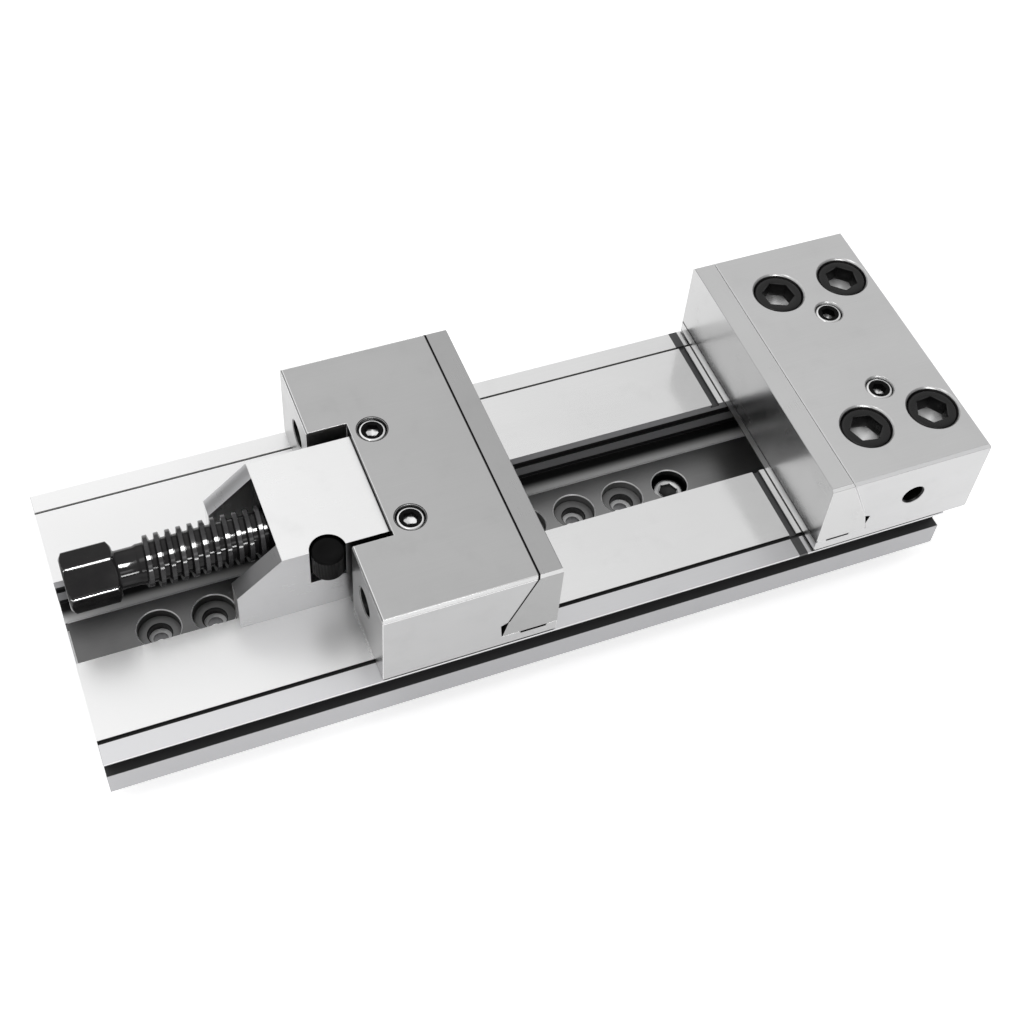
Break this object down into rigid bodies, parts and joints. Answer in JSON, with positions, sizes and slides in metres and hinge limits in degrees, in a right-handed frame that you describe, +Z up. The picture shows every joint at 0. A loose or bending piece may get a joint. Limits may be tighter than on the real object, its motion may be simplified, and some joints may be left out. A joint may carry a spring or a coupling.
{
  "type": "machine vise",
  "caption": "Modular milling vise: slotted base with bolted fixed jaw, indexed nut block and a screw-driven movable jaw with replaceable pull-down jaw plates.",
  "frame": {"origin": "centre of the footprint on the underside of the base", "axes": "+X along the base towards the fixed jaw, +Y across the jaws, +Z up"},
  "size_m": [0.4234, 0.15, 0.086],
  "materials": {
    "ground_steel": "finely ground",
    "jaw_steel": "satin ground",
    "jaw_plate_steel": "ground and hardened",
    "block_steel": "bright ground",
    "dark_steel": "hardened, dark",
    "inner_steel": "machined",
    "plain_screw": "bright",
    "black_oxide": "black oxide, lightly oiled",
    "bronze": "turned bronze"
  },
  "bodies": {
    "root": {"base": "ground_steel", "index_plate": "dark_steel", "index_bushes": "dark_steel", "index_plate_screws": "plain_screw", "fixed_jaw_body": "jaw_steel", "fixed_jaw_plate": "jaw_plate_steel", "fixed_jaw_plate_screws": "black_oxide", "fixed_jaw_cap_screws": "black_oxide", "fixed_jaw_cross_key": "inner_steel", "fixed_jaw_key_screws": "black_oxide"},
    "carriage": {"slide_block": "block_steel", "slide_foot": "inner_steel", "slide_foot_screws": "black_oxide"},
    "index_pin": {"lock_knob": "black_oxide", "lock_crossbar": "inner_steel", "index_dog": "inner_steel"},
    "movable_jaw": {"movable_jaw_body": "jaw_steel", "movable_jaw_plate": "jaw_plate_steel", "movable_jaw_plate_screws": "black_oxide", "thrust_retainer": "inner_steel", "retainer_screws": "black_oxide", "thrust_washer": "bronze", "jaw_guide_block": "inner_steel", "jaw_hold_down_plate": "inner_steel", "jaw_hold_down_screws": "black_oxide"},
    "spindle": {"spindle": "black_oxide", "thrust_collar": "inner_steel", "collar_screw": "black_oxide"}
  },
  "joints": [
    {"name": "carriage_slide", "type": "slide", "parent": "root", "child": "carriage", "axis": [1, 0, 0], "range_m": [-0.0524, 0.1048]},
    {"name": "index_lift", "type": "slide", "parent": "carriage", "child": "index_pin", "axis": [0, 0, 1], "range_m": [-0.0078, 0]},
    {"name": "jaw_slide", "type": "slide", "parent": "carriage", "child": "movable_jaw", "axis": [1, 0, 0], "range_m": [0, 0.0272]},
    {"name": "screw_turn", "type": "hinge", "parent": "movable_jaw", "child": "spindle", "pos_m": [-0.1117, 0, 0.068], "axis": [1, 0, 0], "range_deg": [-60, 2100]}
  ],
  "couplings": [
    {"joint": "screw_turn", "follows": "jaw_slide", "rad_per_m": 1256.6}
  ]
}
